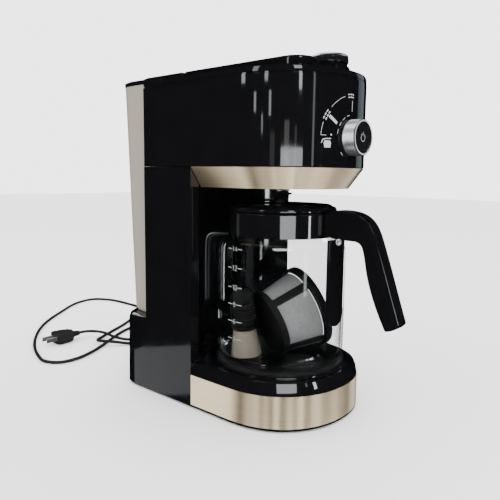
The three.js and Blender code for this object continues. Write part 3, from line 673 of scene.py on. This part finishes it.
# ---- knob, its button and the printed dial ----
def add_knob():
    """A satin ring, and in it the black button with its power symbol."""
    centre = Vector((0, 0, KNOB_Z))
    front, back, r = KNOB_FRONT_Y, KNOB_BACK_Y, KNOB_RADIUS
    seat_y, shaft, bore = back - 0.0026, 0.0034, 0.01485
    profile = [(shaft, back), (shaft, seat_y), (bore, seat_y), (bore, front + 0.0006), (0.0152, front),
               (r - 0.0008, front), (r, front + 0.0008), (r, back - 0.0012), (r - 0.0006, back - 0.0006),
               (r - 0.0006, back)]
    shape = lathe(rounded(profile, 0.0003, 2), centre, 112, "Y")
    ring = from_bmesh("knob_ring", shape, "satin_metal", "knob")
    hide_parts("knob")

    (_, face, _), (cap, rear, _) = span("power_button")
    profile = [(0, rear), (cap, rear), (cap, face + 0.0008), (cap - 0.0004, face + 0.0002),
               (cap - 0.002, face), (cap - 0.003, face + 0.0003), (0, face + 0.0006)]
    shape = lathe(rounded(profile, 0.0003, 2), centre, 96, "Y")
    button = from_bmesh("button_cap", shape, "knob_black", "power_button")
    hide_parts("power_button")
    for made in (ring, button):
        soften(made, 0)

    def on_button(u, v):
        return Vector((u, face + 0.0003, KNOB_Z + v))

    symbol = [band(arc((0, 0), 0.0037, 122, 418, 36), 0.00045, on_button),
              band([(0, 0.0012), (0, 0.0032), (0, 0.0050)], 0.0005, on_button)]
    from_bmesh("power_symbol", merged(symbol), "white_print", "power_button")


def add_dial():
    """Plain marks round the knob: an arc with an end tick, two setting bars, ticks, a dot and a jug."""
    outer, inner, label = 0.0400, 0.0215, 0.0385        # radii of the arc, of the ticks and of the labels
    fine = 0.0004

    def front_arc(radius, start, end, width):
        return band(arc((0, KNOB_Z), radius, start, end), width, on_front)

    shapes = [front_arc(outer, 179, 161, fine), front_arc(outer, 137, 107, fine)]
    tick = [(-outer, KNOB_Z + 0.001), (-0.0372, KNOB_Z + 0.001), (-0.0345, KNOB_Z + 0.001)]
    shapes.append(band(tick, fine, on_front))
    bar = [(-0.0315, 0.3093), (-0.0290, 0.3073), (-0.0265, 0.3056), (-0.0240, 0.3038), (-0.0222, 0.3027)]
    shapes.append(band(bar, 0.0028, on_front))
    shapes.append(band([(0.0004, 0.3256), (0.0004, 0.3205), (0.0004, 0.3153)], 0.0007, on_front))
    shapes += [front_arc(inner, start, start - 12, 0.0006) for start in (172, 152, 132, 112)]
    shapes.append(front_arc(inner, 232, 222, 0.0006))
    for first in (157, 100):    # rows of short strokes that stand for the settings' labels
        for row in (0, 1):
            for start in (first, first - 5, first - 10):
                shapes.append(front_arc(label + row * 0.0026, start, start - 3.4, 0.0011))
    shapes.append(strip(arc((-0.0290, 0.2918), 0.0009, 0, 345, 16), on_front))
    jug = [(-0.0362, 0.2797), (-0.0297, 0.2797), (-0.0290, 0.2840), (-0.0300, 0.2862), (-0.0362, 0.2862),
           (-0.0370, 0.2840)]
    shapes.append(strip(jug, on_front))
    jug_handle = [(-0.0290, 0.2882), (-0.0345, 0.2880), (-0.0380, 0.2872), (-0.0393, 0.2840)]
    shapes.append(band(jug_handle, 0.0009, on_front))
    from_bmesh("dial_print", merged(shapes), "white_print", "machine")


add_knob()
add_dial()


# ---- the lid's round grip ----
def add_lid_grip():
    """A black cap under a satin disc with a rounded edge."""
    centre = Vector((0, centre_of("lid_knob", Y), 0))
    (_, _, low), (_, _, top) = span("lid_knob")
    parting = top - 0.003
    profile = [(0, low), (0.0184, low), (0.0191, low + 0.0009), (0.0191, parting - 0.0008), (0.0186, parting),
               (0, parting)]
    cap = from_bmesh("grip_cap", lathe(rounded(profile, 0.0005, 4), centre, 96), "knob_black", "brew_lid")
    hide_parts("lid_knob")
    seat = parting + 0.0001
    profile = [(0, seat), (0.0187, seat), (0.0190, 0.3692), (0.0184, 0.3705), (0.0168, 0.3713), (0, top)]
    disc = from_bmesh("grip_disc", lathe(rounded(profile, 0.0006, 4), centre, 96), "satin_metal", "brew_lid")
    for made in (cap, disc):
        soften(made, 0)


add_lid_grip()


# ---- stage ----
def add_floor(half_size):
    mesh = bpy.data.meshes.new("floor")
    corners = [(x * half_size, y * half_size, 0) for x, y in ((-1, -1), (1, -1), (1, 1), (-1, 1))]
    mesh.from_pydata(corners, [], [(0, 1, 2, 3)])
    pale = surface("floor", (0.86, 0.86, 0.86), 0.7, grain=(0.8, 0.8, 0.8), tint=0.006, rough_change=0.02)
    mesh.materials.append(pale)
    floor = bpy.data.objects.new("floor", mesh)
    floor.visible_glossy = False
    bpy.context.scene.collection.objects.link(floor)


def add_world():
    """An even white surround, which shiny pieces don't mirror: they mirror the softboxes alone."""
    world = bpy.data.worlds.new("studio")
    world.use_nodes = True
    background = world.node_tree.nodes["Background"]
    background.inputs["Color"].default_value = (1, 1, 1, 1)
    background.inputs["Strength"].default_value = 3.6
    bpy.context.scene.world = world
    world.cycles_visibility.glossy = False


def area_light(name, place, aim, width, height, power, color, only):
    """A softbox that lights only what is in a collection, and nothing but that casts its shadow."""
    data = bpy.data.lights.new(name, "AREA")
    data.shape = "RECTANGLE"
    data.size, data.size_y = width, height
    data.energy, data.color = power, color
    light = bpy.data.objects.new(name, data)
    light.location = place
    light.rotation_euler = (Vector(aim) - Vector(place)).to_track_quat("-Z", "Y").to_euler()
    light.visible_camera = False
    bpy.context.scene.collection.objects.link(light)
    light.light_linking.receiver_collection = only
    light.light_linking.blocker_collection = only


def group(name, looks):
    """The shown pieces that have one of the looks, as a collection that lights can be linked to."""
    chosen = bpy.data.collections.new(name)
    wanted = {LOOKS[look] for look in looks}
    for piece in bpy.data.objects:
        if piece.type == "MESH" and not piece.hide_render and wanted & set(piece.data.materials):
            chosen.objects.link(piece)
    return chosen


def panel(name, heading, climb, distance, width, height, radiance, color, only, aim=(0, AXIS_Y, 0.15)):
    """A softbox seen from aim under that heading and climb, in degrees, with an even brightness."""
    turn, rise = math.radians(heading), math.radians(climb)
    away = Vector((math.cos(turn) * math.cos(rise), math.sin(turn) * math.cos(rise), math.sin(rise)))
    power = radiance * math.pi * width * height
    area_light(name, Vector(aim) + away * distance, aim, width, height, power, color, only)


WARM, COOL, TEAL = (1, 0.95, 0.88), (0.93, 0.97, 1), (0.75, 0.92, 1)


def light_steel():
    """Tall softboxes round the machine, level for the base band and low for the sloping band."""
    metal = group("metal", ["brushed_steel"])
    level_boxes = ((135, 0.50, 2.6), (172, 0.30, 1.1), (-176, 0.10, 2.6), (-160, 0.12, 0.8),
                   (-146, 0.12, 3.4), (-128, 0.14, 0.9), (-108, 0.16, 3.0), (-84, 0.30, 1.6),
                   (-45, 0.40, 0.9), (-10, 0.45, 1.4))
    for i, (heading, width, radiance) in enumerate(level_boxes):
        panel(f"steel_side_{i}", heading, -12, 1.1, width, 1.6, radiance, WARM, metal)
    low_boxes = ((170, 0.30, 0.7), (-165, 0.10, 3.0), (-142, 0.14, 0.7), (-122, 0.12, 3.6),
                 (-100, 0.16, 0.6), (-60, 0.5, 2.0))
    for i, (heading, width, radiance) in enumerate(low_boxes):
        panel(f"steel_low_{i}", heading, -62, 0.9, width, 0.9, radiance, WARM, metal, (0, AXIS_Y, 0.25))


def light_satin():
    """Broad softboxes on every side of the knob's ring and above the lid's grip."""
    satin = group("satin", ["satin_metal"])
    knob_face = (0, KNOB_FRONT_Y, KNOB_Z)
    for name, heading, climb, radiance in (("side", 131, 2, 4.0), ("above", 100, 40, 3.5),
                                           ("below", 100, -40, 1.6), ("rim", -49, 4, 2.6),
                                           ("behind", 60, 20, 3.0), ("top", 90, 84, 3.5)):
        panel("satin_" + name, heading, climb, 0.8, 0.6, 0.6, radiance, COOL, satin, knob_face)


def light_head():
    """Small softboxes for the spots and window shapes that the head's front mirrors, and its right edge."""
    front = bpy.data.collections.new("front")
    front.objects.link(bpy.data.objects["head_shell_skin"])
    distance = 1.6
    for name, heading, climb, width, height, radiance, color, (x, y, z) in (
            ("lamp_a", 154, 10.4, 0.16, 0.10, 8, COOL, (-0.083, -0.015, 0.3472)),
            ("lamp_b", -170.6, 10.4, 0.15, 0.08, 8, COOL, (-0.0765, -0.0374, 0.3457)),
            ("lamp_c", -118.2, 10.2, 0.13, 0.13, 12, COOL, (-0.0576, -0.0625, 0.3466)),
            ("shine_a", 172.4, 7.2, 0.10, 0.07, 6, COOL, (-0.0802, -0.0272, 0.3203)),
            ("shine_b", -164.5, 7.1, 0.10, 0.09, 6, COOL, (-0.0748, -0.0407, 0.3189)),
            ("shine_c", -176.3, 5.1, 0.07, 0.07, 5, COOL, (-0.0779, -0.034, 0.3002)),
            ("window_a", -160, 2.2, 0.20, 0.14, 0.7, WARM, (-0.0736, -0.0429, 0.281)),
            ("window_b", -138, 2.5, 0.22, 0.22, 1.6, WARM, (-0.0668, -0.053, 0.2765)),
            ("window_c", -124, 2.5, 0.10, 0.18, 0.9, WARM, (-0.0618, -0.0585, 0.2766)),
            ("right_rim", -8, 6, 0.6, 0.9, 0.7, TEAL, (0.003, -0.082, 0.28))):
        panel(name, heading, climb, distance, width, height, radiance, color, front, (x, AXIS_Y + y, z))


def light_gloss():
    """Softboxes that the glossy plastics mirror as windows, a strip of table and two spots on the deck."""
    shiny = group("shiny", ["gloss_black", "knob_black"])
    panel("high_window", -122, 38, 1.9, 0.35, 0.6, 9, COOL, shiny)
    panel("left_window", 172, 30, 1.9, 0.25, 0.7, 5, COOL, shiny)
    panel("rear_window", 70, 25, 1.9, 0.5, 0.5, 3, COOL, shiny)
    panel("table_glow", 133, -19, 0.7, 0.30, 0.11, 1.1, COOL, shiny, (-0.084, AXIS_Y + 0.15, 0.022))
    panel("deck_window", -131, 14, 0.6, 0.36, 0.24, 9, COOL, shiny, (-0.05, AXIS_Y - 0.062, 0.045))
    panel("deck_slit", -85, 12, 0.6, 0.05, 0.2, 22, COOL, shiny, (-0.012, AXIS_Y - 0.08, 0.047))
    panel("handle_light", -100, 14, 0.9, 0.05, 0.3, 3, COOL, shiny, (0, AXIS_Y - 0.12, 0.16))


def light_carafe():
    """Upright softboxes for the glass's long highlights, high ones for its foot, a fill for its contents."""
    jug = group("jug", ["glass"])
    foot = (*CARAFE.xy, 0.06)               # just above the warming plate
    panel("glass_left", 66, 4, 1.2, 0.14, 0.9, 1.6, COOL, jug)
    panel("glass_arc_a", 62, 44, 1.2, 0.3, 0.1, 10, COOL, jug, foot)
    panel("glass_arc_b", 5, 40, 1.2, 0.3, 0.1, 10, COOL, jug, foot)
    panel("glass_front", -100, 4, 1.2, 0.10, 0.7, 2.5, COOL, jug)
    panel("glass_right", 8, 6, 1.2, 0.14, 0.9, 4, COOL, jug)
    panel("glass_sky", -140, 50, 1.2, 0.6, 0.4, 6, COOL, jug)
    panel("glass_rear", 30, 24, 1.2, 0.16, 0.12, 12, COOL, jug, foot)
    inside = group("inside", ["filter_mesh", "silicone"])
    panel("inside_fill", -150, 18, 0.9, 0.5, 0.5, 2.6, COOL, inside, (*CARAFE.xy, 0.12))


add_floor(6.0)
add_world()
light_steel()
light_satin()
light_head()
light_gloss()
light_carafe()
